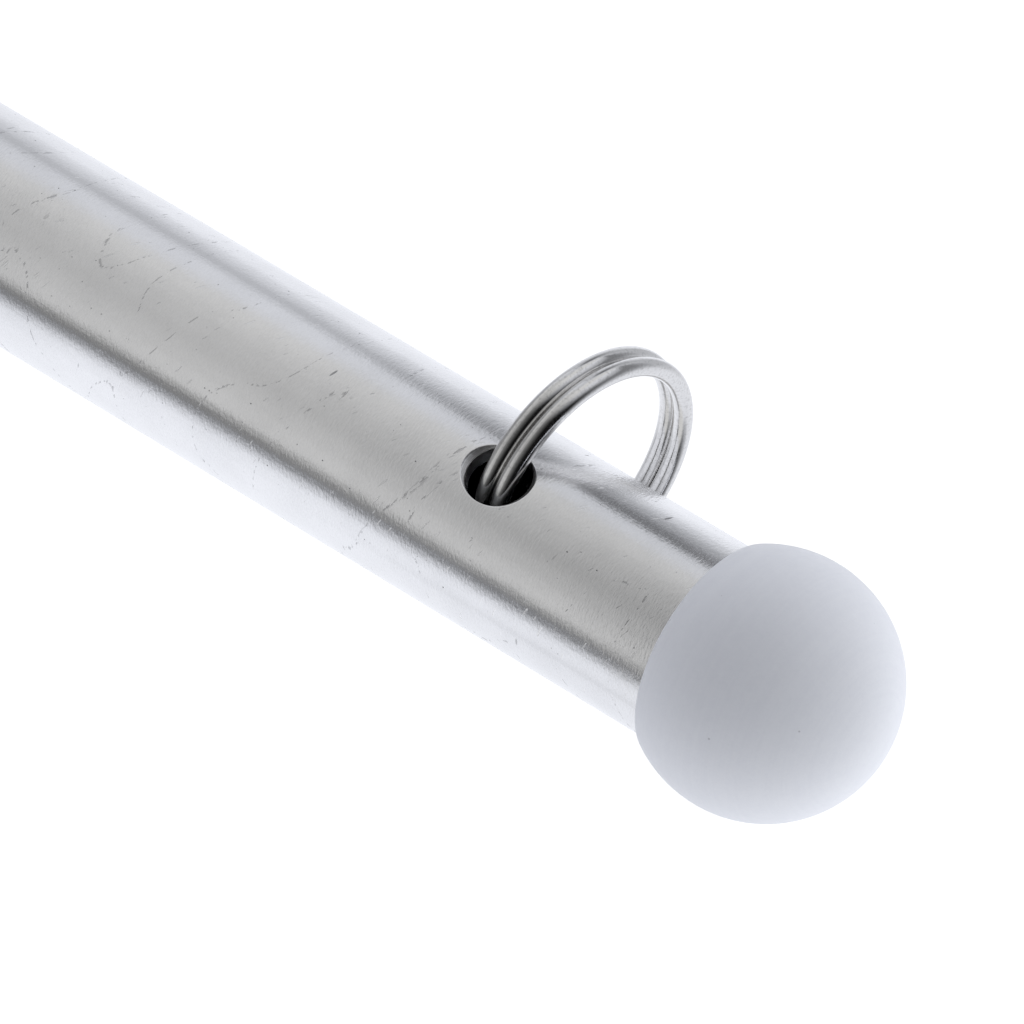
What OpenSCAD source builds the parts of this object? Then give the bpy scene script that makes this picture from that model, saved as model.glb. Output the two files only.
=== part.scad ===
// Boat flagpole: a polished aluminium tube with a turned nylon ball on top,
// a nylon plug in its foot and two split rings through cross holes for the flag.
// Units are millimetres. +Z runs up the pole, the origin is the middle of the foot's flat face,
// the cross holes run along Y, and the rings stand out towards -X.

/* [Tube] */
// Outside diameter of the tube
tube_od = 25; // [22:0.5:32]
// Wall thickness of the tube
tube_wall = 2.5; // [1.5:0.1:3]
// Length of the tube between the foot plug and the ball
tube_length = 371; // [300:1:900]
// Edge broken off at both ends of the tube
tube_end_break = 0.4; // [0.1:0.1:0.7]

/* [Ball] */
// Diameter of the ball
ball_d = 32; // [29:0.5:45]
// Distance from the ball's centre down to its flat back
ball_back = 8; // [6:0.2:10]
// Edge broken off round the ball's flat back
ball_edge_break = 0.25; // [0.1:0.05:0.5]
// Length of the ball's spigot inside the tube
ball_spigot_length = 16; // [8:1:20]

/* [Foot plug] */
// Height of the plug's head below the tube
plug_head_height = 5; // [3:0.5:10]
// Edge broken off round the bottom of the plug's head
plug_edge_break = 1; // [0.2:0.1:2]
// Length of the plug's spigot inside the tube
plug_spigot_length = 18; // [8:1:40]

/* [Spigots] */
// Radial play of both spigots in the tube
spigot_play = 0.1; // [0.05:0.05:0.3]
// Lead-in chamfer at the inner end of both spigots
spigot_lead = 1.2; // [0.5:0.1:2]

/* [Cross holes] */
// Drilled diameter of the cross holes
hole_d = 8; // [7.6:0.1:9]
// Depth of the countersink that takes the burr off each hole
countersink_depth = 0.7; // [0.3:0.1:1]
// Distance from the top of the tube down to the upper hole
upper_hole_drop = 29.5; // [27:0.5:60]
// Height of the lower hole above the foot of the tube
lower_hole_rise = 100; // [60:5:150]

/* [Split rings] */
// Outside diameter of the rings
ring_od = 33.2; // [33:0.1:38]
// Diameter of the rings' wire
wire_d = 2.3; // [1.8:0.05:2.5]
// Gap between the two turns of the coil
coil_gap = 0.05; // [0.05:0.01:0.3]
// Clearance between the wire and the edge of the hole that it rests on
ring_seat_gap = 0.5; // [0.2:0.05:0.8]
// Angle at which the rings stand, up from square to the pole
ring_lift = 6.3; // [-30:0.1:30]
// Direction round the ring of the step between its two turns
ring_step_direction = 80; // [70:1:100]
// Half of the angle over which the wire steps from one turn to the next
ring_step_half_angle = 11; // [8:1:14]

/* [Hidden] */
$fn = 128;

aluminium = [0.80, 0.80, 0.81];
nylon = [0.90, 0.91, 0.93];
steel = [0.68, 0.67, 0.66];

tube_r = tube_od / 2;
bore_r = tube_r - tube_wall;
spigot_r = bore_r - spigot_play;
tube_foot_z = plug_head_height;
tube_top_z = tube_foot_z + tube_length;
ball_centre_z = tube_top_z + ball_back;
ball_r = ball_d / 2;
ball_rim_r = sqrt(ball_r * ball_r - ball_back * ball_back);
upper_hole_z = tube_top_z - upper_hole_drop;
lower_hole_z = tube_foot_z + lower_hole_rise;

hole_r = hole_d / 2;
countersink_r = hole_r + countersink_depth;
cut_margin = 1;

ring_mean_r = (ring_od - wire_d) / 2;
coil_pitch = wire_d + coil_gap;

// Where the outer edge of each turn comes nearest to the inner edge of the hole
seat_y = sqrt(hole_r * hole_r - coil_pitch * coil_pitch / 4);
seat_x = sqrt(bore_r * bore_r - seat_y * seat_y);
// The ring's centre lies this far from the pole's axis, so that the wire rests at that edge
ring_offset = sqrt(pow(ring_od / 2 + ring_seat_gap, 2) - seat_x * seat_x) - seat_y;

// The wire is round, drawn with flat sides that touch its circle
wire_sides = 12;
wire_corner_r = wire_d / 2 / cos(180 / wire_sides);
// Degrees of turn between the sections of the wire
wire_step = 5;
// The ends of the wire are ground to this share of its section over the last degrees of turn
wire_tip_share = 0.6;
wire_tip_angle = 2;
// Each end of the wire stops this far past the step
wire_end_gap = 2;

function smooth_step(t) = let (s = min(max(t, 0), 1)) s * s * (3 - 2 * s);

// Height of the wire at angle turn: one flat turn, the step, and a second flat turn
function wire_height(turn) =
    coil_pitch * (smooth_step((turn - 360 + ring_step_half_angle) / (2 * ring_step_half_angle)) - 0.5);

function wire_section_point(side) =
    let (angle = 360 * (side + 0.5) / wire_sides)
    wire_corner_r * [cos(angle), sin(angle)];

function wire_point(turn, share, side) =
    let (section = wire_section_point(side) * share,
         radius = ring_mean_r + section[0],
         direction = turn + ring_step_direction)
    [radius * cos(direction), radius * sin(direction), wire_height(turn) + section[1]];

// Two turns of wire with a step between them and ground ends, lying flat round the origin
module split_ring() {
    first_turn = ring_step_half_angle + wire_end_gap;
    last_turn = 720 - first_turn;
    sections = concat(
        [[first_turn, wire_tip_share]],
        [for (turn = [first_turn + wire_tip_angle : wire_step : last_turn - wire_tip_angle - 1]) [turn, 1]],
        [[last_turn - wire_tip_angle, 1], [last_turn, wire_tip_share]]);
    last = len(sections) - 1;
    points = [for (s = sections) for (side = [0 : wire_sides - 1]) wire_point(s[0], s[1], side)];
    walls = [for (k = [0 : last - 1]) for (side = [0 : wire_sides - 1])
        let (next = (side + 1) % wire_sides, a = k * wire_sides, b = a + wire_sides)
        each [[a + side, a + next, b + side], [a + next, b + next, b + side]]];
    first_cap = [for (side = [wire_sides - 1 : -1 : 0]) side];
    last_cap = [for (side = [0 : wire_sides - 1]) last * wire_sides + side];
    polyhedron(points, concat(walls, [first_cap, last_cap]), convexity = 6);
}

// A ring in its holes at that height, swung up about the holes' axis
module ring_in_holes(height) {
    color(steel)
        translate([0, 0, height]) rotate([0, ring_lift, 0]) translate([-ring_offset, 0, 0]) split_ring();
}

// A drill's path through both walls, with a countersink on the outside of each
module cross_hole(height) {
    translate([0, 0, height]) rotate([90, 0, 0]) {
        cylinder(d = hole_d, h = tube_od + 2 * cut_margin, center = true);
        for (side = [0, 180])
            rotate([0, side, 0]) translate([0, 0, tube_r - countersink_depth])
                cylinder(r1 = hole_r, r2 = countersink_r + cut_margin, h = countersink_depth + cut_margin);
    }
}

// Round plug that fills the bore from a shoulder at height 0, with a lead-in at its end
module spigot(length) {
    rotate_extrude()
        polygon([[0, 0], [spigot_r, 0], [spigot_r, length - spigot_lead], [spigot_r - spigot_lead, length], [0, length]]);
}

module pole_tube() {
    color(aluminium) difference() {
        rotate_extrude()
            polygon([[bore_r, tube_foot_z + tube_end_break], [bore_r + tube_end_break, tube_foot_z],
                     [tube_r - tube_end_break, tube_foot_z], [tube_r, tube_foot_z + tube_end_break],
                     [tube_r, tube_top_z - tube_end_break], [tube_r - tube_end_break, tube_top_z],
                     [bore_r + tube_end_break, tube_top_z], [bore_r, tube_top_z - tube_end_break]]);
        cross_hole(upper_hole_z);
        cross_hole(lower_hole_z);
    }
}

module ball_finial() {
    color(nylon) union() {
        intersection() {
            translate([0, 0, ball_centre_z]) sphere(r = ball_r);
            // The cone leaves the flat back and breaks its edge
            translate([0, 0, tube_top_z])
                cylinder(r1 = ball_rim_r - ball_edge_break, r2 = ball_rim_r + 2 * ball_d, h = 2 * ball_d);
        }
        translate([0, 0, tube_top_z]) mirror([0, 0, 1]) spigot(ball_spigot_length);
    }
}

module foot_plug() {
    color(nylon) union() {
        rotate_extrude()
            polygon([[0, 0], [tube_r - plug_edge_break, 0], [tube_r, plug_edge_break],
                     [tube_r, plug_head_height], [0, plug_head_height]]);
        translate([0, 0, plug_head_height]) spigot(plug_spigot_length);
    }
}

pole_tube();
ball_finial();
foot_plug();
ring_in_holes(upper_hole_z);  // upper_ring
ring_in_holes(lower_hole_z);  // lower_ring
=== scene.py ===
"""Boat flagpole: a polished tube with a turned ball, a foot plug and two split rings.

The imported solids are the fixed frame. Each of them is shown by a finer surface
of the same size, worked out as whole arrays from the sizes below, in metres.
"""
import logging
import math
from dataclasses import dataclass, field
from enum import Enum

import bmesh
import bpy
import numpy as np
from mathutils import Matrix, Vector


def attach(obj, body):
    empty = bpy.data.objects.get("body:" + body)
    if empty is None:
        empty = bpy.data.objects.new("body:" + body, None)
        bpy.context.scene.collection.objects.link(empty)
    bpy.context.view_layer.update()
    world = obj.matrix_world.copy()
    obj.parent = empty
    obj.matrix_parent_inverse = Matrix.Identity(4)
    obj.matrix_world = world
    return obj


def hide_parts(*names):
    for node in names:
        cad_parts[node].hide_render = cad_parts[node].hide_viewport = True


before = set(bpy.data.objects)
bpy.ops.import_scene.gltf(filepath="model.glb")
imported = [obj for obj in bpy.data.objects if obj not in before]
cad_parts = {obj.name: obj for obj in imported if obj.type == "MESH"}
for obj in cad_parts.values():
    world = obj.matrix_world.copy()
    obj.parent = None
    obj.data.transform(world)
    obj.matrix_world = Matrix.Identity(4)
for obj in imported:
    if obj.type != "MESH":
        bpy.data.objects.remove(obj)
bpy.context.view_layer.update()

Socket = bpy.types.NodeSocket
NodeTree = bpy.types.NodeTree
Material = bpy.types.Material
Colour = tuple[float, float, float]
Place = tuple[float, float, float]
Span = tuple[float, float]
Cards = tuple[tuple[float, float], ...]

LOG = logging.getLogger("flagpole")
MM = 0.001
WELD_DISTANCE = 2e-6
ONE_TURN_DEG = 360.0
WHITE: Colour = (1.0, 1.0, 1.0)

# Sizes that more than one piece or finish reads
TUBE_RADIUS = 12.5 * MM
TUBE_FOOT = 5.0 * MM
TUBE_TOP = 376.0 * MM
SPIGOT_RADIUS = 9.9 * MM
SPIGOT_LEAD = 1.2 * MM
LEAD_SOFTNESS = 0.2 * MM
LOWER_HOLE = 105.0 * MM
UPPER_HOLE = 346.5 * MM

# Fixed values of the shared effects
NOISE_MIDDLE = 0.5
SPECK_LEAST_SIZE = 0.4
SPECK_EDGE_SCALE = 4.0
SPECK_EDGE_SOFTNESS = 0.5
SPECK_FAINTEST = 0.35
HAIRLINE_SHIFT: Place = (0.31, 0.17, 0.43)
HAIRLINE_DASH_SCALE = 26.0


class HoleSide(Enum):
    """The two ends of a cross hole, as directions round the pole in degrees."""

    FRONT = -90.0
    BACK = 90.0


class Body(Enum):
    """The moving bodies that the pieces ride on."""

    POLE = "pole"
    UPPER_RING = "upper_ring"
    LOWER_RING = "lower_ring"


# Surfaces

@dataclass
class Surface:
    """A grid surface as points (n, 3) and four-cornered faces (m, 4)."""

    points: np.ndarray
    faces: np.ndarray


def grid_surface(points: np.ndarray, closed: bool = False) -> Surface:
    """Turns a grid of points into a surface.

    Args:
        points: array (rows, columns, 3); neighbours in it share a face.
        closed: whether the last column meets the first one.

    Returns:
        The surface, with one face for each cell of the grid.
    """
    rows, columns = points.shape[:2]
    index = np.arange(rows * columns).reshape(rows, columns)
    if closed:
        index = np.concatenate([index, index[:, :1]], axis=1)
    corners = [index[:-1, :-1], index[:-1, 1:], index[1:, 1:], index[1:, :-1]]
    return Surface(points.reshape(-1, 3), np.stack(corners, axis=-1).reshape(-1, 4))


def joined(surfaces: list[Surface]) -> Surface:
    """Puts several surfaces into one.

    Args:
        surfaces: the surfaces to join.

    Returns:
        One surface that holds all their points and faces.
    """
    starts = np.cumsum([0] + [len(s.points) for s in surfaces[:-1]])
    points = np.concatenate([s.points for s in surfaces])
    faces = np.concatenate([s.faces + start for s, start in zip(surfaces, starts)])
    return Surface(points, faces)


def mesh_object(name: str, surface: Surface, crease_deg: float) -> bpy.types.Object:
    """Makes a smooth-shaded closed object from a surface.

    Args:
        name: the piece's name.
        surface: its points and faces; points in the same place are welded.
        crease_deg: edges that bend more than this stay sharp.

    Returns:
        The new object, at the origin, with its faces outwards.
    """
    mesh = bpy.data.meshes.new(name)
    count = len(surface.faces)
    mesh.vertices.add(len(surface.points))
    mesh.vertices.foreach_set("co", surface.points.astype(np.float32).ravel())
    mesh.loops.add(count * 4)
    mesh.loops.foreach_set("vertex_index", surface.faces.astype(np.int32).ravel())
    mesh.polygons.add(count)
    mesh.polygons.foreach_set("loop_start", np.arange(count, dtype=np.int32) * 4)
    mesh.polygons.foreach_set("loop_total", np.full(count, 4, dtype=np.int32))
    mesh.update(calc_edges=True)
    work = bmesh.new()
    work.from_mesh(mesh)
    bmesh.ops.remove_doubles(work, verts=work.verts, dist=WELD_DISTANCE)
    bmesh.ops.recalc_face_normals(work, faces=work.faces)
    work.to_mesh(mesh)
    work.free()
    mesh.polygons.foreach_set("use_smooth", np.ones(len(mesh.polygons), dtype=bool))
    mesh.set_sharp_from_angle(angle=math.radians(crease_deg))
    piece = bpy.data.objects.new(name, mesh)
    bpy.context.scene.collection.objects.link(piece)
    return piece


def stage_object(name: str, surface: Surface, paint: Material) -> bpy.types.Object:
    """Makes a painted object that stands round the pole and isn't part of it.

    Args:
        name: the object's name.
        surface: its points and faces.
        paint: its material.

    Returns:
        The new object.
    """
    mesh = bpy.data.meshes.new(name)
    mesh.from_pydata(surface.points.tolist(), [], surface.faces.tolist())
    mesh.materials.append(paint)
    made = bpy.data.objects.new(name, mesh)
    bpy.context.scene.collection.objects.link(made)
    return made


def rounded(before: np.ndarray, corner: np.ndarray, after: np.ndarray, steps: int) -> np.ndarray:
    """Rounds a corner with the parabola that leaves and meets its two sides.

    The curve is (1-t)^2 before + 2t(1-t) corner + t^2 after, for t from 0 to 1.

    Args:
        before: where the curve leaves the first side, array (..., k).
        corner: the sharp corner, same shape.
        after: where the curve meets the second side, same shape.
        steps: how many points it has.

    Returns:
        Array (steps, ..., k).
    """
    t = np.linspace(0.0, 1.0, steps).reshape((steps,) + (1,) * before.ndim)
    return (1 - t) ** 2 * before + 2 * t * (1 - t) * corner + t ** 2 * after


def even_turn(columns: int) -> np.ndarray:
    """The angles of a full turn in equal steps, without the last, which is the first again."""
    return np.arange(columns) * (2 * math.pi / columns)


def turned(profile: np.ndarray, turn: np.ndarray) -> Surface:
    """Turns a profile about the pole's axis: (r, z) goes to (r cos a, r sin a, z).

    Args:
        profile: array (rows, 2) of radius and height.
        turn: the angles of one full turn.

    Returns:
        The surface, closed round the axis.
    """
    ring = np.stack([np.cos(turn), np.sin(turn)], axis=-1)
    plan = profile[:, None, :1] * ring[None]
    height = np.broadcast_to(profile[:, None, 1:], plan.shape[:2] + (1,))
    return grid_surface(np.concatenate([plan, height], axis=-1), closed=True)


def softened(corners: list[Span], softness: list[float], steps: int = 5,
             most_share: float = 0.45) -> np.ndarray:
    """A profile of straight runs whose corners are rounded.

    Args:
        corners: (radius, height) of each corner, end to end.
        softness: length taken from each side of each corner; 0 keeps it sharp.
        steps: points in each rounded corner.
        most_share: the largest share of a side that one corner may take.

    Returns:
        Array (rows, 2).
    """
    p = np.array(corners)
    pieces = [p[:1]]
    for i in range(1, len(p) - 1):
        back, on = p[i - 1] - p[i], p[i + 1] - p[i]
        back_length, on_length = np.linalg.norm(back), np.linalg.norm(on)
        reach = min(softness[i], most_share * back_length, most_share * on_length)
        if reach <= 0:
            pieces.append(p[i:i + 1])
        else:
            pieces.append(rounded(p[i] + reach * back / back_length, p[i],
                                  p[i] + reach * on / on_length, steps))
    return np.concatenate(pieces + [p[-1:]])


# Shader node groups

def new_group(name: str, inputs: dict[str, float], output: str) -> NodeTree:
    """Starts a shader node group that reads a Vector and some numbers.

    Args:
        name: the group's name.
        inputs: name and default of each number.
        output: name of the number that it puts out.

    Returns:
        The group, with its input and output nodes named "in" and "out".
    """
    tree = bpy.data.node_groups.new(name, "ShaderNodeTree")
    number = "NodeSocketFloat"
    tree.interface.new_socket(name="Vector", in_out="INPUT", socket_type="NodeSocketVector")
    for label, default in inputs.items():
        socket = tree.interface.new_socket(name=label, in_out="INPUT", socket_type=number)
        socket.default_value = default
    tree.interface.new_socket(name=output, in_out="OUTPUT", socket_type=number)
    tree.nodes.new("NodeGroupInput").name = "in"
    tree.nodes.new("NodeGroupOutput").name = "out"
    return tree


@dataclass
class Wiring:
    """A node tree with short ways to add and join nodes."""

    tree: NodeTree

    def node(self, kind: str, **settings: object) -> bpy.types.Node:
        """Adds a node.

        Args:
            kind: the node's type.
            settings: properties to set on it.

        Returns:
            The node.
        """
        made = self.tree.nodes.new(kind)
        for key, value in settings.items():
            setattr(made, key, value)
        return made

    def feed(self, socket: Socket, value: object) -> None:
        """Links a socket to another one, or sets it to a constant.

        Args:
            socket: the input to feed.
            value: an output's socket, or a number, vector or colour.
        """
        if isinstance(value, Socket):
            self.tree.links.new(value, socket)
        else:
            socket.default_value = value

    def math(self, operation: str, *values: object, clamp: bool = False) -> Socket:
        """Adds a Math node.

        Args:
            operation: what it does.
            values: its inputs, in order.
            clamp: whether the result is held between 0 and 1.

        Returns:
            The result's socket.
        """
        made = self.node("ShaderNodeMath", operation=operation, use_clamp=clamp)
        for socket, value in zip(made.inputs, values):
            self.feed(socket, value)
        return made.outputs[0]

    def weighted(self, *terms: tuple[object, float]) -> object:
        """Adds values up, each times its weight.

        Args:
            terms: (value, weight) of each.

        Returns:
            The sum's socket.
        """
        total: object = 0.0
        for value, weight in terms:
            total = self.math("MULTIPLY_ADD", value, weight, total)
        return total

    def vector(self, operation: str, *values: object) -> Socket:
        """Adds a Vector Math node.

        Args:
            operation: what it does.
            values: its inputs, in order; for SCALE, the vector and the number.

        Returns:
            The vector's socket, or the number's for a dot product or length.
        """
        made = self.node("ShaderNodeVectorMath", operation=operation)
        ends = (made.inputs[0], made.inputs["Scale"]) if operation == "SCALE" else made.inputs
        for socket, value in zip(ends, values):
            self.feed(socket, value)
        return made.outputs["Value" if operation in ("DOT_PRODUCT", "LENGTH") else "Vector"]

    def axes(self, where: object) -> list[Socket]:
        """Splits a vector.

        Args:
            where: the vector's socket.

        Returns:
            The sockets of its x, y and z.
        """
        made = self.node("ShaderNodeSeparateXYZ")
        self.feed(made.inputs[0], where)
        return list(made.outputs)

    def ranged(self, value: object, low: float, high: float, to_low: float = 0.0,
               to_high: float = 1.0) -> Socket:
        """Carries a value from one range to another, easing in and out and held at both ends.

        Args:
            value: the socket to read.
            low: value that gives to_low.
            high: value that gives to_high.
            to_low: result at low.
            to_high: result at high.

        Returns:
            The result's socket.
        """
        made = self.node("ShaderNodeMapRange", interpolation_type="SMOOTHSTEP")
        for label, item in (("Value", value), ("From Min", low), ("From Max", high),
                            ("To Min", to_low), ("To Max", to_high)):
            self.feed(made.inputs[label], item)
        return made.outputs["Result"]

    def mix(self, share: object, first: object, second: object) -> Socket:
        """Mixes two colours.

        Args:
            share: how much of the second one there is, 0 to 1.
            first: a colour's socket or its three values.
            second: the same.

        Returns:
            The mixed colour's socket.
        """
        made = self.node("ShaderNodeMix", data_type="RGBA")
        factor, colours = made.inputs[0], (made.inputs[6], made.inputs[7])
        self.feed(factor, share)
        for socket, colour in zip(colours, (first, second)):
            self.feed(socket, (*colour, 1.0) if isinstance(colour, tuple) else colour)
        return made.outputs[2]

    def noise(self, where: object, scale: object, detail: float, rough: float) -> Socket:
        """Adds a Noise texture.

        Args:
            where: the coordinates to read.
            scale: how fine it is.
            detail: how many finer layers it has.
            rough: how strong those are.

        Returns:
            The value's socket.
        """
        made = self.node("ShaderNodeTexNoise")
        self.feed(made.inputs["Vector"], where)
        self.feed(made.inputs["Scale"], scale)
        made.inputs["Detail"].default_value = detail
        made.inputs["Roughness"].default_value = rough
        return made.outputs[0]

    def ramp(self, share: object, stops: list[tuple[float, Colour]]) -> Socket:
        """Adds a colour ramp.

        Args:
            share: the socket to read, 0 to 1.
            stops: (place, colour) of each stop.

        Returns:
            The colour's socket.
        """
        made = self.node("ShaderNodeValToRGB")
        bar = made.color_ramp
        bar.interpolation = "EASE"
        while len(bar.elements) < len(stops):
            bar.elements.new(1.0)
        for stop, (place, colour) in zip(bar.elements, stops):
            stop.position = place
            stop.color = (*colour, 1.0)
        self.feed(made.inputs[0], share)
        return made.outputs["Color"]

    def bump(self, height: object, depth: float) -> Socket:
        """Adds a Bump node.

        Args:
            height: the height's socket.
            depth: how deep a height of 1 is, in metres.

        Returns:
            The normal's socket.
        """
        made = self.node("ShaderNodeBump")
        made.inputs["Strength"].default_value = 1.0
        made.inputs["Distance"].default_value = depth
        self.feed(made.inputs["Height"], height)
        return made.outputs[0]

    def group(self, tree: NodeTree, **values: object) -> Socket:
        """Places a node group.

        Args:
            tree: the group.
            values: what feeds each of its inputs, by name.

        Returns:
            The socket of its first output.
        """
        made = self.node("ShaderNodeGroup", node_tree=tree)
        for label, value in values.items():
            self.feed(made.inputs[label], value)
        return made.outputs[0]


def stretched_grain_group() -> NodeTree:
    """Marks drawn out along circles: noise of (x, y, z) times (around, around, along).

    Returns:
        The group, whose Value changes quickly along the axis and slowly round it.
    """
    tree = new_group("stretched_grain", {"Around": 100.0, "Along": 3000.0, "Seed": 0.0}, "Value")
    w = Wiring(tree)
    take, give = tree.nodes["in"].outputs, tree.nodes["out"].inputs
    spread = w.node("ShaderNodeCombineXYZ")
    for socket, label in zip(spread.inputs, ("Around", "Around", "Along")):
        w.feed(socket, take[label])
    place = w.vector("MULTIPLY", take["Vector"], spread.outputs[0])
    seeded = w.vector("ADD", place, take["Seed"])
    w.feed(give["Value"], w.noise(seeded, scale=1.0, detail=3.0, rough=0.6))
    return tree


def speck_group() -> NodeTree:
    """Scattered small specks: a ragged disc at the heart of some cells of a cell pattern.

    Returns:
        The group, whose Mask is up to 1 inside a speck and 0 outside.
    """
    tree = new_group("specks", {"Scale": 800.0, "Size": 0.15, "Share": 0.2}, "Mask")
    w = Wiring(tree)
    take, give = tree.nodes["in"].outputs, tree.nodes["out"].inputs
    cells = w.node("ShaderNodeTexVoronoi", feature="F1")
    w.feed(cells.inputs["Vector"], take["Vector"])
    w.feed(cells.inputs["Scale"], take["Scale"])
    split = w.node("ShaderNodeSeparateColor")
    w.feed(split.inputs[0], cells.outputs["Color"])
    luck, size, strength = split.outputs
    chosen = w.math("LESS_THAN", luck, take["Share"])
    reach = w.math("MULTIPLY", take["Size"], w.math("ADD", size, SPECK_LEAST_SIZE))
    edge_scale = w.math("MULTIPLY", take["Scale"], SPECK_EDGE_SCALE)
    rough = w.noise(take["Vector"], edge_scale, detail=2.0, rough=0.6)
    ragged = w.math("MULTIPLY_ADD", w.math("SUBTRACT", rough, NOISE_MIDDLE), reach,
                    cells.outputs["Distance"])
    inside = w.math("SUBTRACT", 1.0, w.math("DIVIDE", ragged, reach), clamp=True)
    disc = w.math("MULTIPLY", w.ranged(inside, 0.0, SPECK_EDGE_SOFTNESS),
                  w.ranged(strength, 0.0, 1.0, SPECK_FAINTEST, 1.0))
    w.feed(give["Mask"], w.math("MULTIPLY", disc, chosen))
    return tree


def hairline_group() -> NodeTree:
    """Thin dotted lines: where a noise crosses its middle value, broken up by a finer noise.

    Returns:
        The group, whose Mask is 1 on a line and 0 off it.
    """
    tree = new_group("hairlines", {"Scale": 60.0, "Width": 0.004, "Share": 0.4}, "Mask")
    w = Wiring(tree)
    take, give = tree.nodes["in"].outputs, tree.nodes["out"].inputs
    level = w.noise(take["Vector"], take["Scale"], detail=1.0, rough=0.4)
    off = w.math("ABSOLUTE", w.math("SUBTRACT", level, NOISE_MIDDLE))
    line = w.math("SUBTRACT", 1.0, w.math("DIVIDE", off, take["Width"]), clamp=True)
    moved = w.vector("ADD", take["Vector"], HAIRLINE_SHIFT)
    dash_scale = w.math("MULTIPLY", take["Scale"], HAIRLINE_DASH_SCALE)
    dashes = w.noise(moved, dash_scale, detail=2.0, rough=0.6)
    kept = w.math("GREATER_THAN", dashes, w.math("SUBTRACT", 1.0, take["Share"]))
    w.feed(give["Mask"], w.math("MULTIPLY", line, kept))
    return tree


@dataclass
class SharedEffects:
    """The node groups that the finishes use, built once."""

    grain: NodeTree = field(default_factory=stretched_grain_group)
    specks: NodeTree = field(default_factory=speck_group)
    hairlines: NodeTree = field(default_factory=hairline_group)


@dataclass(frozen=True)
class Grain:
    """One use of the stretched grain: how fine it is round the axis and along it."""

    around: float
    along: float
    seed: float

    def value(self, w: Wiring, effects: SharedEffects, where: object) -> Socket:
        """Places the grain at those coordinates and gives its value."""
        return w.group(effects.grain, Vector=where, Around=self.around, Along=self.along,
                       Seed=self.seed)


@dataclass(frozen=True)
class Specks:
    """One use of the specks: how close, how large and how many of the cells have one."""

    scale: float
    size: float
    share: float

    def mask(self, w: Wiring, effects: SharedEffects, where: object) -> Socket:
        """Places the specks at those coordinates and gives their mask."""
        return w.group(effects.specks, Vector=where, Scale=self.scale, Size=self.size,
                       Share=self.share)


@dataclass(frozen=True)
class Stroke:
    """Coordinates in which a round speck is a stroke round the tube, at a slant.

    The slant is the turn out of the circles in radians, and the stretch is how
    many times longer than wide a stroke is.
    """

    slant: float
    stretch: float

    def along(self, w: Wiring, where: Socket) -> Socket:
        """Turns and stretches the coordinates.

        Args:
            w: the material's wiring.
            where: the object coordinates.

        Returns:
            The new coordinates' socket.
        """
        made = w.node("ShaderNodeMapping", vector_type="TEXTURE")
        made.inputs["Rotation"].default_value = (0.0, self.slant, 0.0)
        made.inputs["Scale"].default_value = (self.stretch, self.stretch, 1.0)
        w.feed(made.inputs["Vector"], where)
        return made.outputs[0]


def new_material(name: str) -> tuple[Material, Wiring, bpy.types.NodeInputs, Socket]:
    """Starts a material with a Principled shader and object coordinates.

    Args:
        name: the material's name.

    Returns:
        The material, its wiring, its shader's inputs and the coordinates' socket.
    """
    material = bpy.data.materials.new(name)
    material.use_nodes = True
    w = Wiring(material.node_tree)
    shader = material.node_tree.nodes["Principled BSDF"]
    where = w.node("ShaderNodeTexCoord").outputs["Object"]
    return material, w, shader.inputs, where


def bare_material(name: str) -> tuple[Material, Wiring]:
    """Starts a material with no nodes.

    Args:
        name: the material's name.

    Returns:
        The material and its wiring.
    """
    material = bpy.data.materials.new(name)
    material.use_nodes = True
    material.node_tree.nodes.clear()
    return material, Wiring(material.node_tree)


# Finishes

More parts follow.
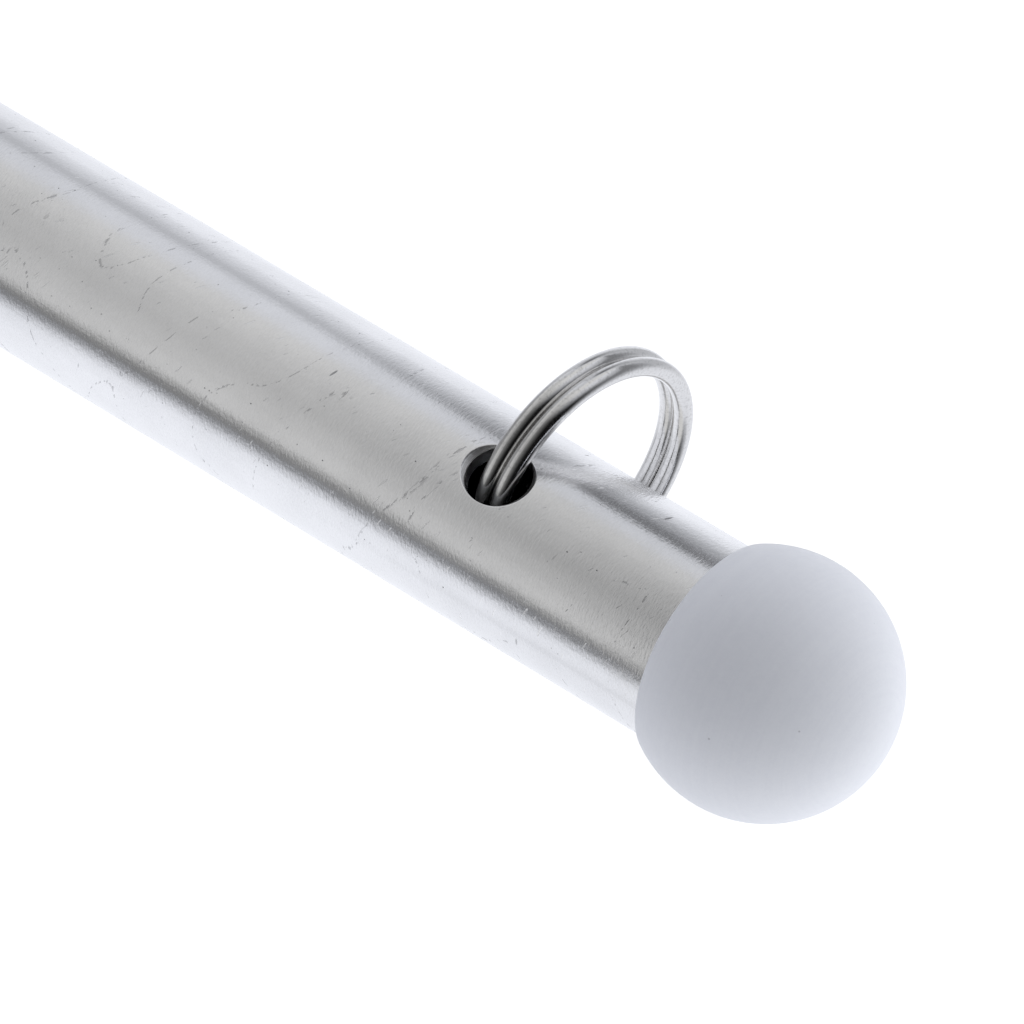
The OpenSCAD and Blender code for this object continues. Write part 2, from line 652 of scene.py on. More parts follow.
@dataclass(frozen=True)
class PolishedAluminium:
    """Bright tube skin with rubbed circles, scratches, nicks and pits, duller where drilled;
    painted glints on scratches, painted shade in the holes.
    """

    colour: Colour = (0.91, 0.91, 0.915)
    dull_colour: Colour = (0.80, 0.80, 0.805)
    # Colour of the painted glints on the scratch strokes
    painted_glint_colour: Colour = (0.98, 0.98, 0.985)
    pit_colour: Colour = (0.26, 0.26, 0.27)
    # Painted shade in the hole walls and countersinks
    drilled_shade_colour: Colour = (0.17, 0.17, 0.175)
    cut_colour: Colour = (0.90, 0.90, 0.905)
    gloss_low: float = 0.06
    gloss_high: float = 0.15
    scratch_gloss: float = 0.42
    rub: Grain = Grain(1300.0, 3600.0, 2.0)
    fine: Grain = Grain(2300.0, 7600.0, 7.0)
    drawn: Grain = Grain(1500.0, 9.0, 4.0)
    peel_scale: float = 1500.0
    cloud_scale: float = 150.0
    pits: Specks = Specks(1100.0, 0.10, 0.30)
    nicks: Specks = Specks(520.0, 0.075, 0.45)
    nick_stroke: Stroke = Stroke(0.30, 5.0)
    glints: Specks = Specks(2100.0, 0.17, 0.5)
    glint_stroke: Stroke = Stroke(0.62, 9.0)
    line_stroke: Stroke = Stroke(0.35, 2.6)
    line_scale: float = 95.0
    line_width: float = 0.006
    line_share: float = 0.44
    line_strength: float = 0.55
    cloud_shade: float = 0.4
    fine_shade: float = 0.45
    glint_dullness: float = 0.35
    drilled_dullness: float = 0.6
    rub_depth: float = 0.000024
    fine_height: float = 0.3
    drawn_height: float = 0.3
    peel_height: float = 0.4
    dark_depth: float = 0.9
    glint_depth: float = 1.1
    hole_heights: Span = (LOWER_HOLE, UPPER_HOLE)
    hole_reach: float = 5.5 * MM
    below_full: float = 0.06 * MM
    below_none: float = 0.01 * MM
    turns_scale: float = 16000.0

    def drilled(self, w: Wiring, where: Socket) -> tuple[Socket, Socket]:
        """Finds the walls and countersinks of the cross holes, which lie below the round skin;
        their colour is darkened there as painted shade.

        Args:
            w: the material's wiring.
            where: the object coordinates.

        Returns:
            A mask that is 1 there, and the distance from the nearest hole's axis.
        """
        x, y, z = w.axes(where)
        drops = [w.math("ABSOLUTE", w.math("SUBTRACT", z, height)) for height in self.hole_heights]
        across, drop, deep = (w.math("POWER", value, 2.0)
                              for value in (x, w.math("MINIMUM", *drops), y))
        reach = w.math("SQRT", w.math("ADD", across, drop))
        radius = w.math("SQRT", w.math("ADD", across, deep))
        below = w.ranged(radius, TUBE_RADIUS - self.below_full, TUBE_RADIUS - self.below_none,
                         1.0, 0.0)
        near = w.math("LESS_THAN", reach, self.hole_reach)
        return w.math("MULTIPLY", below, near), reach

    def material(self, effects: SharedEffects) -> Material:
        """Builds the material.

        Args:
            effects: the shared node groups.

        Returns:
            The tube's material.
        """
        material, w, shader, where = new_material("polished_aluminium")
        rub, fine, drawn = (grain.value(w, effects, where)
                            for grain in (self.rub, self.fine, self.drawn))
        peel = w.noise(where, self.peel_scale, detail=2.0, rough=0.5)
        cloud = w.noise(where, self.cloud_scale, detail=5.0, rough=0.6)
        pits = self.pits.mask(w, effects, where)
        nicks = self.nicks.mask(w, effects, self.nick_stroke.along(w, where))
        glints = self.glints.mask(w, effects, self.glint_stroke.along(w, where))
        dotted = w.group(effects.hairlines, Vector=self.line_stroke.along(w, where),
                         Scale=self.line_scale, Width=self.line_width, Share=self.line_share)
        shade = w.weighted((w.ranged(fine, 0.3, 0.7), self.fine_shade),
                           (w.ranged(cloud, 0.3, 0.72), self.cloud_shade))
        skin = w.mix(shade, self.colour, self.dull_colour)
        dark = w.math("MAXIMUM", w.math("MAXIMUM", pits, nicks),
                      w.math("MULTIPLY", dotted, self.line_strength), clamp=True)
        # Painted glint: glint strokes lighten the colour; pits, nicks and dotted lines are real
        # dark marks
        skin = w.mix(dark, w.mix(glints, skin, self.painted_glint_colour), self.pit_colour)
        drilled_and_shaded, reach = self.drilled(w, where)
        # Circles left by the drill: noise of the distance from the hole's axis
        circles = w.math("MULTIPLY", reach, self.turns_scale)
        turns = w.noise(circles, scale=1.0, detail=2.0, rough=0.6)
        # Drill circles over a dark colour that is painted shade in the holes
        cut = w.mix(w.ranged(turns, 0.40, 0.55), self.drilled_shade_colour, self.cut_colour)
        w.feed(shader["Base Color"], w.mix(drilled_and_shaded, skin, cut))
        gloss = w.ranged(w.weighted((cloud, 0.4), (fine, 0.6)), 0.35, 0.68,
                         self.gloss_low, self.gloss_high)
        marks = w.math("MAXIMUM", dark, w.math("MULTIPLY", glints, self.glint_dullness))
        marks = w.math("MAXIMUM", marks, w.math("MULTIPLY", drilled_and_shaded, self.drilled_dullness))
        w.feed(shader["Roughness"], w.math("MULTIPLY_ADD", marks, self.scratch_gloss, gloss))
        height = w.weighted((rub, 1.0), (fine, self.fine_height), (drawn, self.drawn_height),
                            (peel, self.peel_height), (dark, -self.dark_depth),
                            (glints, -self.glint_depth))
        w.feed(shader["Normal"], w.bump(height, self.rub_depth))
        shader["Metallic"].default_value = 1.0
        return material


@dataclass(frozen=True)
class TurnedNylon:
    """Matte white plastic with circles from the lathe and a few dark specks."""

    colour: Colour = (0.845, 0.865, 0.905)
    shade: Colour = (0.815, 0.835, 0.88)
    speck_colour: Colour = (0.42, 0.42, 0.45)
    gloss_low: float = 0.47
    gloss_high: float = 0.65
    circles: Grain = Grain(30.0, 3400.0, 11.0)
    cloud_scale: float = 700.0
    grain_scale: float = 2600.0
    specks: Specks = Specks(620.0, 0.10, 0.09)
    tone_share: float = 0.35
    ring_depth: float = 0.000006
    circle_height: float = 0.7
    grain_height: float = 0.9
    cloud_height: float = 0.4
    ior: float = 1.52
    specular_level: float = 0.35

    def material(self, effects: SharedEffects) -> Material:
        """Builds the material.

        Args:
            effects: the shared node groups.

        Returns:
            The material of the ball and the foot plug.
        """
        material, w, shader, where = new_material("turned_nylon")
        circles = self.circles.value(w, effects, where)
        cloud = w.noise(where, self.cloud_scale, detail=5.0, rough=0.65)
        grain = w.noise(where, self.grain_scale, detail=3.0, rough=0.6)
        specks = self.specks.mask(w, effects, where)
        tone = w.weighted(*((value, self.tone_share) for value in (cloud, grain, circles)))
        body = w.mix(w.ranged(tone, 0.36, 0.70), self.colour, self.shade)
        w.feed(shader["Base Color"], w.mix(specks, body, self.speck_colour))
        w.feed(shader["Roughness"], w.ranged(cloud, 0.3, 0.7, self.gloss_low, self.gloss_high))
        height = w.weighted((circles, self.circle_height), (grain, self.grain_height),
                            (specks, -1.0), (cloud, self.cloud_height))
        w.feed(shader["Normal"], w.bump(height, self.ring_depth))
        shader["IOR"].default_value = self.ior
        shader["Specular IOR Level"].default_value = self.specular_level
        return material


@dataclass(frozen=True)
class RingSteel:
    """Bright plated wire with faint drawing marks and small nicks, with painted shade where it is
    in the tube.
    """

    colour: Colour = (0.80, 0.795, 0.79)
    dull_colour: Colour = (0.60, 0.595, 0.59)
    # Painted shade inside the tube's holes, full from one distance from the axis inwards
    tube_shade_colour: Colour = (0.24, 0.24, 0.24)
    tube_shade_from: float = 12.4 * MM
    tube_shade_full: float = 10.8 * MM
    gloss_low: float = 0.08
    gloss_high: float = 0.20
    drawn: Grain = Grain(180.0, 5200.0, 5.0)
    cloud_scale: float = 2600.0
    nicks: Specks = Specks(1700.0, 0.14, 0.10)
    nick_dullness: float = 0.4
    mark_depth: float = 0.000004
    cloud_height: float = 0.7

    def material(self, effects: SharedEffects) -> Material:
        """Builds the material.

        Args:
            effects: the shared node groups.

        Returns:
            The rings' material.
        """
        material, w, shader, where = new_material("ring_steel")
        drawn = self.drawn.value(w, effects, where)
        cloud = w.noise(where, self.cloud_scale, detail=4.0, rough=0.6)
        nicks = self.nicks.mask(w, effects, where)
        worn = w.math("MAXIMUM", w.ranged(cloud, 0.45, 0.80), nicks)
        # Painted shade: the wire's colour darkens towards the axis, where it lies inside the tube's
        # hole
        from_axis = w.vector("LENGTH", w.vector("MULTIPLY", where, (1.0, 1.0, 0.0)))
        inside = w.ranged(from_axis, self.tube_shade_from, self.tube_shade_full)
        plated = w.mix(worn, self.colour, self.dull_colour)
        w.feed(shader["Base Color"], w.mix(inside, plated, self.tube_shade_colour))
        rough = w.math("MULTIPLY_ADD", nicks, self.nick_dullness, cloud)
        w.feed(shader["Roughness"], w.ranged(rough, 0.35, 0.75, self.gloss_low, self.gloss_high))
        height = w.weighted((drawn, 1.0), (cloud, self.cloud_height), (nicks, -1.0))
        w.feed(shader["Normal"], w.bump(height, self.mark_depth))
        shader["Metallic"].default_value = 1.0
        return material


# Pieces

@dataclass(kw_only=True)
class Piece:
    """A piece of the pole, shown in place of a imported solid."""

    name: str
    node: str
    slot: str
    body: Body
    crease_deg: float

    def surface(self) -> Surface:
        """The piece's closed skin, which each kind of piece works out for itself."""
        raise NotImplementedError

    def build(self, finish: Material) -> bpy.types.Object:
        """Makes the piece, dresses it and puts it in place of its solid.

        Args:
            finish: the material.

        Returns:
            The piece's object.
        """
        piece = mesh_object(self.name, self.surface(), self.crease_deg)
        piece.data.materials.append(finish)
        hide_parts(self.node)
        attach(piece, self.body.value)
        return piece


@dataclass(kw_only=True)
class Tube(Piece):
    """The pole's tube, with two countersunk cross holes through it."""

    name: str = "tube_skin"
    node: str = "pole_tube"
    slot: str = "polished_aluminium"
    body: Body = Body.POLE
    crease_deg: float = 32.0
    radius: float = TUBE_RADIUS
    bore: float = 10.0 * MM
    foot: float = TUBE_FOOT
    top: float = TUBE_TOP
    end_break: float = 0.4 * MM
    hole_radius: float = 4.0 * MM
    countersink: float = 0.7 * MM
    rim_round: float = 0.12 * MM
    hole_heights: Span = (LOWER_HOLE, UPPER_HOLE)
    window_half_deg: float = 36.0
    window_half_height: float = 8.0 * MM
    window_steps: int = 36
    side_steps: int = 54
    foot_steps: int = 10
    middle_steps: int = 20
    top_steps: int = 4
    rim_repeats: int = 60
    fan_rows: int = 15
    fan_power: float = 1.6
    round_rows: int = 5
    wall_rows: int = 8

    def skin(self, radius: float, turn: np.ndarray, height: np.ndarray) -> np.ndarray:
        """Points of a round skin: (r cos a, r sin a, z) for each angle and height."""
        return np.stack(np.broadcast_arrays(radius * np.cos(turn), radius * np.sin(turn), height),
                        axis=-1)

    def stretches(self) -> list[np.ndarray]:
        """The angles of one full turn, in four stretches.

        Returns:
            Front window, side, back window and other side; each ends where the next begins.
        """
        half = self.window_half_deg
        marks = np.radians([-90 - half, -90 + half, 90 - half, 90 + half, 270 - half])
        steps = [self.window_steps, self.side_steps] * 2
        return [np.linspace(marks[i], marks[i + 1], steps[i] + 1) for i in range(4)]

    def levels(self) -> list[np.ndarray]:
        """The heights along the tube, in five bands.

        Returns:
            Foot, lower windows, middle, upper windows and top.
        """
        low, high = self.hole_heights
        tall, n = self.window_half_height, self.window_steps
        marks = [self.foot + self.end_break, low - tall, low + tall, high - tall, high + tall,
                 self.top - self.end_break]
        steps = [self.foot_steps, n, self.middle_steps, n, self.top_steps]
        return [np.linspace(marks[j], marks[j + 1], steps[j] + 1) for j in range(5)]

    def plain_bands(self) -> list[Surface]:
        """The outer and inner skin in blocks, less the windows that hold the holes.

        Returns:
            One surface for each block of each skin.
        """
        blocks = []
        for radius in (self.radius, self.bore):
            for j, heights in enumerate(self.levels()):
                for i, turn in enumerate(self.stretches()):
                    is_window = j % 2 == 1 and i % 2 == 0
                    if not is_window:
                        blocks.append(grid_surface(self.skin(radius, turn[None, :],
                                                             heights[:, None])))
        return blocks

    def end_faces(self) -> list[Surface]:
        """The two flat ends with their broken edges, as turned strips.

        Returns:
            The top's surface and the foot's.
        """
        cut = self.end_break
        turn = np.concatenate([stretch[:-1] for stretch in self.stretches()])
        ends = []
        for face, inwards in ((self.top, -cut), (self.foot, cut)):
            strip = np.array([[self.radius, face + inwards], [self.radius - cut, face],
                              [self.bore + cut, face], [self.bore, face + inwards]])
            ends.append(turned(strip, turn))
        return ends

    def window(self, height: float, side: HoleSide) -> Surface:
        """One end of a hole with the square of skin round it, both skins and the wall between.

        The square's edge is a loop of points; each is joined to the point of the
        hole's rim that lies the same way from the hole's middle. The rim is where
        the 45 degree countersink meets the round skin: rho = hole + depth of the
        skin above the countersink's floor at that rho, found by repeating it.

        Args:
            height: the hole's height on the pole.
            side: which end of the hole.

        Returns:
            The surface of that end.
        """
        n = self.window_steps
        run = np.linspace(-1.0, 1.0, n + 1)[:-1]
        one = np.ones(n)
        edge_turn = math.radians(self.window_half_deg) * np.concatenate([one, -run, -one, run])
        edge_rise = self.window_half_height * np.concatenate([run, one, -run, -one])
        way = np.arctan2(edge_rise, self.radius * edge_turn)
        across, along = np.cos(way), np.sin(way)
        floor = self.radius - self.countersink
        hole = np.full(4 * n, self.hole_radius)
        rho = hole
        for _ in range(self.rim_repeats):
            rho = self.hole_radius + np.sqrt(self.radius ** 2 - (rho * across) ** 2) - floor
            rho = np.maximum(rho, self.hole_radius)

        def on_skin(radius: float, reach: np.ndarray) -> np.ndarray:
            """Turn and rise on a skin at a distance from the hole's axis."""
            return np.stack([np.arcsin(reach * across / radius), reach * along], axis=-1)

        def placed(radius: float, flat: np.ndarray) -> np.ndarray:
            """Turn and rise as (sideways, outwards, rise)."""
            turn, rise = flat[..., 0], flat[..., 1]
            return np.stack([radius * np.sin(turn), radius * np.cos(turn), rise], axis=-1)

        def on_wall(depth: float) -> np.ndarray:
            """The hole's round wall at a depth along its axis."""
            return np.stack(np.broadcast_arrays(hole * across, depth, hole * along), axis=-1)

        edge = np.stack([edge_turn, edge_rise], axis=-1)
        share = (np.linspace(0.0, 1.0, self.fan_rows) ** self.fan_power)[:, None, None]
        outer_rim = on_skin(self.radius, rho + self.rim_round)
        outer = placed(self.radius, (1 - share) * outer_rim + share * edge)
        inner = placed(self.bore, (1 - share) * on_skin(self.bore, hole) + share * edge)
        lip = placed(self.radius, on_skin(self.radius, rho))
        throat, below = on_wall(floor), on_wall(floor - self.rim_round)
        slope = throat - lip
        length = np.linalg.norm(slope, axis=-1, keepdims=True)
        part = np.minimum(0.5, self.rim_round / np.maximum(length, 1e-9)) * slope
        lip_round = rounded(outer[0], lip, lip + part, self.round_rows)
        throat_round = rounded(throat - part, throat, below, self.round_rows)
        fall = np.linspace(0.0, 1.0, self.wall_rows)[:, None, None]
        wall = (1 - fall) * below + fall * inner[0]
        rows = np.concatenate([outer[::-1], lip_round[1:], throat_round, wall[1:], inner[1:]])
        angle = math.radians(side.value)
        outwards = np.array([math.cos(angle), math.sin(angle), 0.0])
        sideways = np.array([-math.sin(angle), math.cos(angle), 0.0])
        points = rows[..., :1] * sideways + rows[..., 1:2] * outwards
        points[..., 2] = rows[..., 2] + height
        return grid_surface(points, closed=True)

    def surface(self) -> Surface:
        """The bands, the end faces and the windows, joined.

        Returns:
            The closed surface.
        """
        parts = self.plain_bands() + self.end_faces()
        parts += [self.window(height, side) for height in self.hole_heights for side in HoleSide]
        return joined(parts)


@dataclass(kw_only=True)
class TurnedPiece(Piece):
    """A nylon piece made on the lathe."""

    slot: str = "white_nylon"
    body: Body = Body.POLE
    crease_deg: float = 50.0
    columns: int

    def profile(self) -> np.ndarray:
        """The half outline (rows, 2), which each turned piece works out for itself."""
        raise NotImplementedError

    def surface(self) -> Surface:
        """The half outline turned about the pole's axis."""
        return turned(self.profile(), even_turn(self.columns))


@dataclass(kw_only=True)
class Finial(TurnedPiece):
    """The turned ball with its flat back and the spigot inside the tube."""

    name: str = "turned_ball"
    node: str = "ball_finial"
    columns: int = 224
    radius: float = 16.0 * MM
    back: float = 8.0 * MM
    seat: float = TUBE_TOP
    edge: float = 0.3 * MM
    spigot_length: float = 16.0 * MM
    dome_rows: int = 130
    rim_rows: int = 7

    def profile(self) -> np.ndarray:
        """The ball's half outline: spigot, flat back, soft rim, then (R cos e, R sin e) to the top.

        Returns:
            Array (rows, 2) of radius and height.
        """
        middle = self.seat + self.back
        rim = math.sqrt(self.radius ** 2 - self.back ** 2)
        start = self.edge / self.radius - math.asin(self.back / self.radius)
        arc = np.linspace(start, math.pi / 2, self.dome_rows)
        dome = np.stack([self.radius * np.cos(arc), middle + self.radius * np.sin(arc)], axis=-1)
        dome[-1, 0] = 0.0
        low = self.seat - self.spigot_length
        under = softened([(0.0, low), (SPIGOT_RADIUS - SPIGOT_LEAD, low),
                          (SPIGOT_RADIUS, low + SPIGOT_LEAD), (SPIGOT_RADIUS, self.seat),
                          (rim - self.edge, self.seat)], [0, LEAD_SOFTNESS, LEAD_SOFTNESS, 0, 0])
        rim_curve = rounded(under[-1], np.array([rim, self.seat]), dome[0], self.rim_rows)
        return np.concatenate([under, rim_curve[1:-1], dome])


@dataclass(kw_only=True)
class FootPlug(TurnedPiece):
    """The turned plug that closes the tube's foot."""

    name: str = "turned_plug"
    node: str = "foot_plug"
    columns: int = 192
    radius: float = TUBE_RADIUS
    head: float = TUBE_FOOT
    edge: float = 1.0 * MM
    edge_softness: float = 0.35 * MM
    shoulder_softness: float = 0.15 * MM
    spigot_length: float = 18.0 * MM

    def profile(self) -> np.ndarray:
        """The plug's half outline: foot, broken edge, head, step and spigot.

        Returns:
            Array (rows, 2) of radius and height.
        """
        end = self.head + self.spigot_length
        corners = [(0.0, 0.0), (self.radius - self.edge, 0.0), (self.radius, self.edge),
                   (self.radius, self.head), (SPIGOT_RADIUS, self.head),
                   (SPIGOT_RADIUS, end - SPIGOT_LEAD), (SPIGOT_RADIUS - SPIGOT_LEAD, end),
                   (0.0, end)]
        return softened(corners, [0, self.edge_softness, self.edge_softness, self.shoulder_softness,
                                  0, LEAD_SOFTNESS, LEAD_SOFTNESS, 0])


@dataclass(kw_only=True)
class SplitRing(Piece):
    """A two-turn ring of round wire, stepped from one turn to the next."""

    slot: str = "ring_steel"
    crease_deg: float = 40.0
    height: float
    mean_radius: float = 15.45 * MM
    wire: float = 2.3 * MM
    pitch: float = 2.35 * MM
    end_gap_deg: float = 13.0
    step_deg: float = 80.0
    step_half_deg: float = 11.0
    tip_share: float = 0.6
    tip_deg: float = 2.0
    offset: float = 10.56499 * MM
    lift_deg: float = 6.3
    stations: int = 464
    sides: int = 36

    def section(self) -> np.ndarray:
        """The wire's round section: half its thickness times (cos t, sin t), array (sides, 2)."""
        t = even_turn(self.sides)
        return self.wire / 2 * np.stack([np.cos(t), np.sin(t)], axis=-1)

    def surface(self) -> Surface:
        """The wire's skin: the section carried round two turns, with one smooth step between.

        The station's height is pitch (ease(turn) - 1/2), where ease is 3t^2 - 2t^3 over
        the step; the section shrinks a little over the last degrees of each end.

        Returns:
            The closed surface, in the ring's own place on the pole.
        """
        turn = np.linspace(self.end_gap_deg, 2 * ONE_TURN_DEG - self.end_gap_deg, self.stations)
        from_end = np.minimum(turn - turn[0], turn[-1] - turn)
        size = self.tip_share + (1 - self.tip_share) * np.clip(from_end / self.tip_deg, 0, 1)
        t = (turn - ONE_TURN_DEG + self.step_half_deg) / (2 * self.step_half_deg)
        t = np.clip(t, 0, 1)
        rise = self.pitch * (3 * t ** 2 - 2 * t ** 3 - 0.5)
        # One more station of no size closes each end
        size = np.concatenate([[0.0], size, [0.0]])
        turn = np.concatenate([turn[:1], turn, turn[-1:]])
        rise = np.concatenate([rise[:1], rise, rise[-1:]])
        way = np.radians(turn + self.step_deg)
        shape = self.section()[None] * size[:, None, None]
        reach = self.mean_radius + shape[..., 0]
        x = reach * np.cos(way)[:, None] - self.offset
        y = reach * np.sin(way)[:, None]
        z = rise[:, None] + shape[..., 1]
        lift = math.radians(self.lift_deg)
        points = np.stack([x * math.cos(lift) + z * math.sin(lift), y,
                           z * math.cos(lift) - x * math.sin(lift) + self.height], axis=-1)
        return grid_surface(points, closed=True)


# Studio

@dataclass
class Studio:
    """The white floor, the soft light, the screen of cards round the pole and the camera.

    Cards are (direction in degrees, brightness): lower_cards and upper_cards round the
    pole from the camera's side, over_cards and beside_cards round the ring, up and over.
    """

    towards_camera: Place = (0.386, -0.9225, 0.0)
    sideways: Place = (-0.9225, -0.386, 0.0)
    eye: Place = (0.43827, -1.04186, 0.93395)
    right: Place = (-0.62765, 0.16533, 0.76074)
    up: Place = (-0.69777, -0.55279, -0.45556)
    lens: float = 387.576
    sensor: float = 36.0
    nearest: float = 0.01
    farthest: float = 200.0
    tint: Colour = (0.98, 0.99, 1.03)
    level_light: float = 1.7
    rise_light: float = -0.6
    dim_side: Place = (0.410, -0.816, 0.408)
    dim_span: Span = (0.47, 0.72)
    dim_left: float = 0.05
    floor_half: float = 40.0
    floor_glow: Colour = (0.82, 0.82, 0.82)
    floor_shade: Colour = (0.30, 0.30, 0.30)
    floor_bounce: Colour = (0.70, 0.70, 0.71)
    screen_radius: float = 0.16
    screen_low: float = 0.001
    screen_shoulder: float = 0.42
    screen_dome_rows: int = 16
    screen_columns: int = 144
    side_tint: Colour = (0.965, 0.985, 1.045)
    side_from_deg: float = 60.0
    ring_place: Place = (0.0, 0.0, 0.35)
    upper_span: Span = (0.233, 0.285)
    above_span: Span = (0.295, 0.335)
    below_span: Span = (0.10, 0.20)
    below_share: float = 0.65
    beside_span: Span = (0.30, 0.86)
    far_side_span: Span = (-0.70, -0.92)
    far_side_card: float = 0.72
    over_cards: Cards = (
        (-180, 0.92), (-150, 0.82), (-120, 0.74), (-105, 0.62), (-90, 0.28), (-75, 0.15),
        (-60, 0.20), (-45, 0.28), (-30, 0.33), (-15, 0.27), (0, 0.18), (15, 0.10), (30, 0.045),
        (45, 0.006), (84, 0.003), (96, 0.09), (108, 0.24), (122, 0.52), (136, 0.86), (150, 0.91),
        (180, 0.92))
    beside_cards: Cards = (
        (-180, 0.54), (-150, 0.48), (-120, 0.53), (-90, 0.58), (-60, 0.69), (0, 0.73), (60, 0.76),
        (75, 0.63), (90, 0.48), (105, 0.22), (120, 0.24), (135, 0.36), (150, 0.51), (180, 0.54))
    lower_cards: Cards = (
        (-180, 1.0), (-124, 0.99), (-103, 0.98), (-86, 0.93), (-78, 0.84), (-71, 0.58), (-64, 0.26),
        (-58, 0.20), (-51, 0.38), (-45, 0.59), (-34, 0.59), (-22, 0.55), (0, 0.50), (22, 0.53),
        (34, 0.58), (51, 0.64), (71, 0.72), (80, 0.72), (86, 0.62), (91, 0.50), (96, 0.56),
        (103, 0.67), (113, 0.77), (124, 0.92), (180, 1.0))
    upper_cards: Cards = (
        (-180, 1.0), (-124, 0.92), (-107, 0.90), (-102, 0.76), (-97, 0.88), (-86, 0.90),
        (-78, 0.77), (-71, 0.42), (-64, 0.18), (-58, 0.29), (-51, 0.54), (-45, 0.59), (-34, 0.55),
        (-22, 0.47), (0, 0.39), (22, 0.45), (34, 0.50), (51, 0.57), (67, 0.64), (74, 0.60),
        (79, 0.28), (83, 0.14), (88, 0.20), (95, 0.33), (103, 0.47), (113, 0.68), (124, 0.88),
        (139, 0.98), (180, 1.0))

    def camera(self) -> None:
        """Sets up the long lens at the photograph's place and turn."""
        data = bpy.data.cameras.new("studio_camera")
        data.sensor_width = self.sensor
        data.lens = self.lens
        data.clip_start = self.nearest
        data.clip_end = self.farthest
        camera = bpy.data.objects.new("studio_camera", data)
        x, y = Vector(self.right).normalized(), Vector(self.up)
        z = x.cross(y).normalized()
        y = z.cross(x)
        turn = Matrix((x, y, z)).transposed().to_4x4()
        camera.matrix_world = Matrix.Translation(self.eye) @ turn
        bpy.context.scene.collection.objects.link(camera)
        bpy.context.scene.camera = camera

    def seen_share(self, w: Wiring) -> Socket:
        """Tells the rays that show the background from those that light the pole.

        Args:
            w: the wiring to add to.

        Returns:
            1 for rays from the camera, from metal and through glass, 0 for the rest.
        """
        path = w.node("ShaderNodeLightPath")
        share = w.math("MAXIMUM", path.outputs["Is Camera Ray"], path.outputs["Is Glossy Ray"])
        return w.math("MAXIMUM", share, path.outputs["Is Transmission Ray"])

    def world(self) -> None:
        """Soft light from all round, dimmer from the camera's side; seen as white."""
        scene_world = bpy.data.worlds.new("soft_studio")
        scene_world.use_nodes = True
        scene_world.node_tree.nodes.clear()
        w = Wiring(scene_world.node_tree)
        where = w.node("ShaderNodeTexCoord").outputs["Generated"]
        facing = w.vector("DOT_PRODUCT", where, self.dim_side)
        rise = w.axes(where)[2]
        bright = w.math("MULTIPLY_ADD", rise, self.rise_light, self.level_light)
        strength = w.math("MULTIPLY", bright, w.ranged(facing, *self.dim_span, 1.0, self.dim_left))
        light = w.vector("SCALE", self.tint, strength)
        glow = w.node("ShaderNodeBackground")
        w.feed(glow.inputs["Color"], w.mix(self.seen_share(w), light, WHITE))
        out = w.node("ShaderNodeOutputWorld")
        w.feed(out.inputs["Surface"], glow.outputs[0])
        bpy.context.scene.world = scene_world

    def floor(self) -> None:
        """A wide white floor that keeps a soft shadow."""
        paint, w = bare_material("studio_floor")
        glow = w.node("ShaderNodeEmission")
        shade, bounce = (w.node("ShaderNodeBsdfDiffuse") for _ in range(2))
        for shader, colour in ((glow, self.floor_glow), (shade, self.floor_shade),
                               (bounce, self.floor_bounce)):
            shader.inputs["Color"].default_value = (*colour, 1.0)
        seen = w.node("ShaderNodeAddShader")
        w.feed(seen.inputs[0], glow.outputs[0])
        w.feed(seen.inputs[1], shade.outputs[0])
        pick = w.node("ShaderNodeMixShader")
        for socket, value in zip(pick.inputs, (self.seen_share(w), bounce.outputs[0],
                                               seen.outputs[0])):
            w.feed(socket, value)
        out = w.node("ShaderNodeOutputMaterial")
        w.feed(out.inputs["Surface"], pick.outputs[0])
        half = self.floor_half
        flat = np.array([[[-half, -half, 0], [half, -half, 0]],
                         [[-half, half, 0], [half, half, 0]]])
        stage_object("studio_floor", grid_surface(flat), paint)

    def stop(self, deg: float, bright: float) -> tuple[float, Colour]:
        """One stop of a ramp: its place and colour, bluer away from the camera's side."""
        tint = self.side_tint if abs(deg) >= self.side_from_deg else WHITE
        return deg / ONE_TURN_DEG + 0.5, tuple(bright * channel for channel in tint)

    def arc(self, w: Wiring, up: object, ahead: object, cards: Cards) -> Socket:
        """Paints cards by direction: the angle whose tangent is up over ahead.

        Args:
            w: the paint's wiring.
            up: the direction's part towards 90 degrees.
            ahead: its part towards 0 degrees.
            cards: direction and brightness of each card.

        Returns:
            The colour's socket.
        """
        angle = w.math("ARCTAN2", up, ahead)
        share = w.math("MULTIPLY_ADD", angle, 0.5 / math.pi, 0.5)
        return w.ramp(share, [self.stop(deg, bright) for deg, bright in cards])

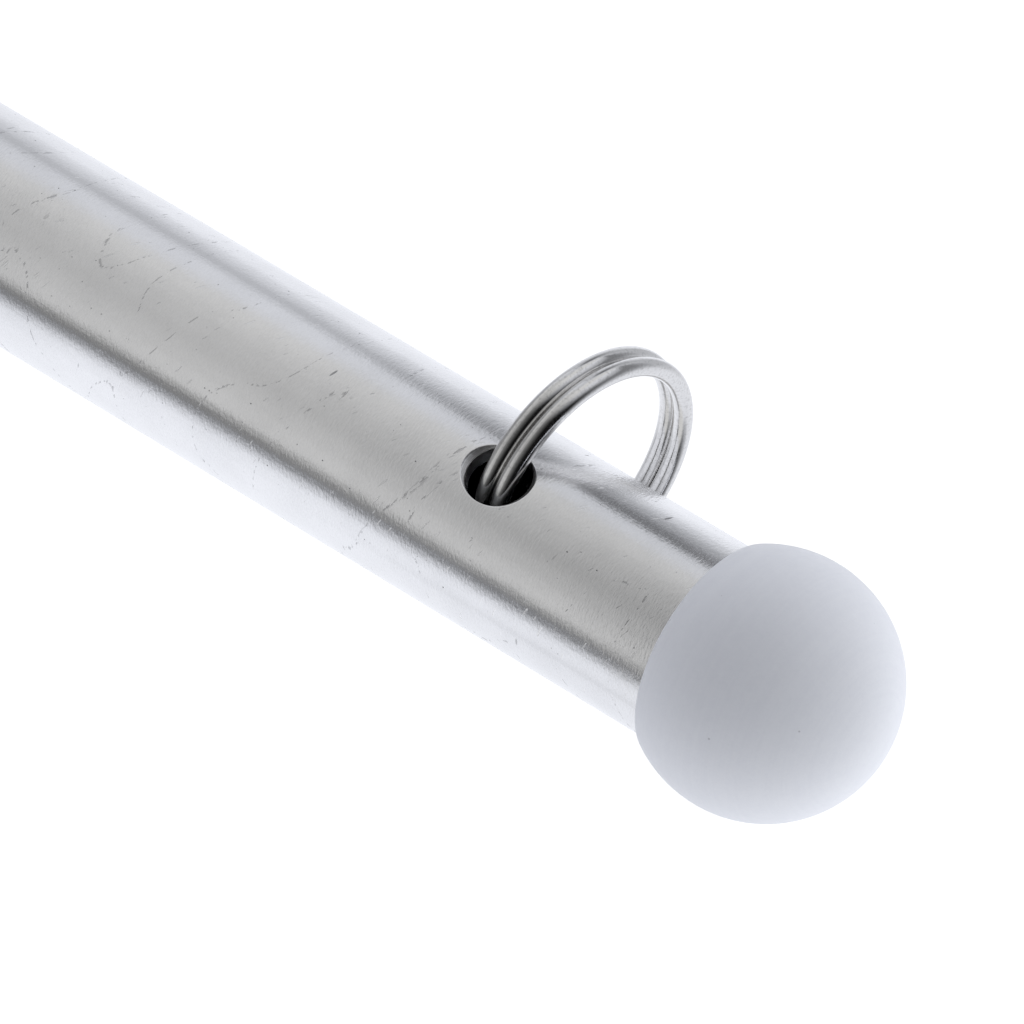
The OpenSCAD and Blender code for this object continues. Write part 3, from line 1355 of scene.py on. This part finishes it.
    def card_paint(self) -> Material:
        """The screen's paint: cards round the pole, and above and below them cards round the ring.

        Returns:
            The material, which glows in those colours.
        """
        paint, w = bare_material("card_screen")
        where = w.node("ShaderNodeTexCoord").outputs["Object"]
        level = w.axes(where)[2]
        ahead = w.vector("DOT_PRODUCT", where, self.towards_camera)
        aside = w.vector("DOT_PRODUCT", where, self.sideways)
        lower, upper = (self.arc(w, aside, ahead, cards)
                        for cards in (self.lower_cards, self.upper_cards))
        round_pole = w.mix(w.ranged(level, *self.upper_span), lower, upper)
        away = w.vector("NORMALIZE", w.vector("SUBTRACT", where, self.ring_place))
        rise = w.axes(away)[2]
        ahead = w.vector("DOT_PRODUCT", away, self.towards_camera)
        aside = w.vector("DOT_PRODUCT", away, self.sideways)
        over, beside = (self.arc(w, rise, ahead, cards)
                        for cards in (self.over_cards, self.beside_cards))
        round_ring = w.mix(w.ranged(aside, *self.beside_span), over, beside)
        round_ring = w.mix(w.ranged(aside, *self.far_side_span), round_ring,
                           (self.far_side_card,) * 3)
        colour = w.mix(w.ranged(level, *self.above_span), round_pole, round_ring)
        below = w.ranged(level, *self.below_span, self.below_share, 0.0)
        glow = w.node("ShaderNodeEmission")
        w.feed(glow.inputs["Color"], w.mix(below, colour, round_ring))
        out = w.node("ShaderNodeOutputMaterial")
        w.feed(out.inputs["Surface"], glow.outputs[0])
        return paint

    def screen(self) -> None:
        """A round screen of pale and dark cards under a dome, which only the metal shows.

        Its skin is the profile (r, z) turned about the pole: a flat bottom, r constant up
        to the shoulder, then (r cos e, shoulder + r sin e) for e from 0 to a quarter turn.
        """
        lift = np.linspace(0.0, math.pi / 2, self.screen_dome_rows)
        radius = self.screen_radius
        dome = np.stack([radius * np.cos(lift), self.screen_shoulder + radius * np.sin(lift)],
                        axis=-1)
        profile = np.concatenate([[[0.0, self.screen_low], [radius, self.screen_low]], dome])
        surface = turned(profile, even_turn(self.screen_columns))
        screen = stage_object("card_screen", surface, self.card_paint())
        for ray in ("camera", "diffuse", "transmission", "shadow", "volume_scatter"):
            setattr(screen, f"visible_{ray}", False)

    def build(self) -> None:
        """Sets up the camera, the light and everything round the pole."""
        self.camera()
        self.world()
        self.floor()
        self.screen()
        bpy.context.scene.view_settings.view_transform = "Standard"


def main() -> None:
    """Builds the studio and the pole's pieces in order."""
    logging.basicConfig(level=logging.INFO, format="%(name)s: %(message)s")
    Studio().build()
    effects = SharedEffects()
    aluminium = PolishedAluminium().material(effects)
    nylon = TurnedNylon().material(effects)
    steel = RingSteel().material(effects)
    upper_ring = SplitRing(name="upper_split_ring", node="upper_ring", body=Body.UPPER_RING,
                           height=UPPER_HOLE)
    lower_ring = SplitRing(name="lower_split_ring", node="lower_ring", body=Body.LOWER_RING,
                           height=LOWER_HOLE)
    for part, finish in ((Tube(), aluminium), (Finial(), nylon), (FootPlug(), nylon),
                         (upper_ring, steel), (lower_ring, steel)):
        piece = part.build(finish)
        LOG.info("%s: %d points, %d faces", piece.name, len(piece.data.vertices),
                 len(piece.data.polygons))


if __name__ == "__main__":
    main()
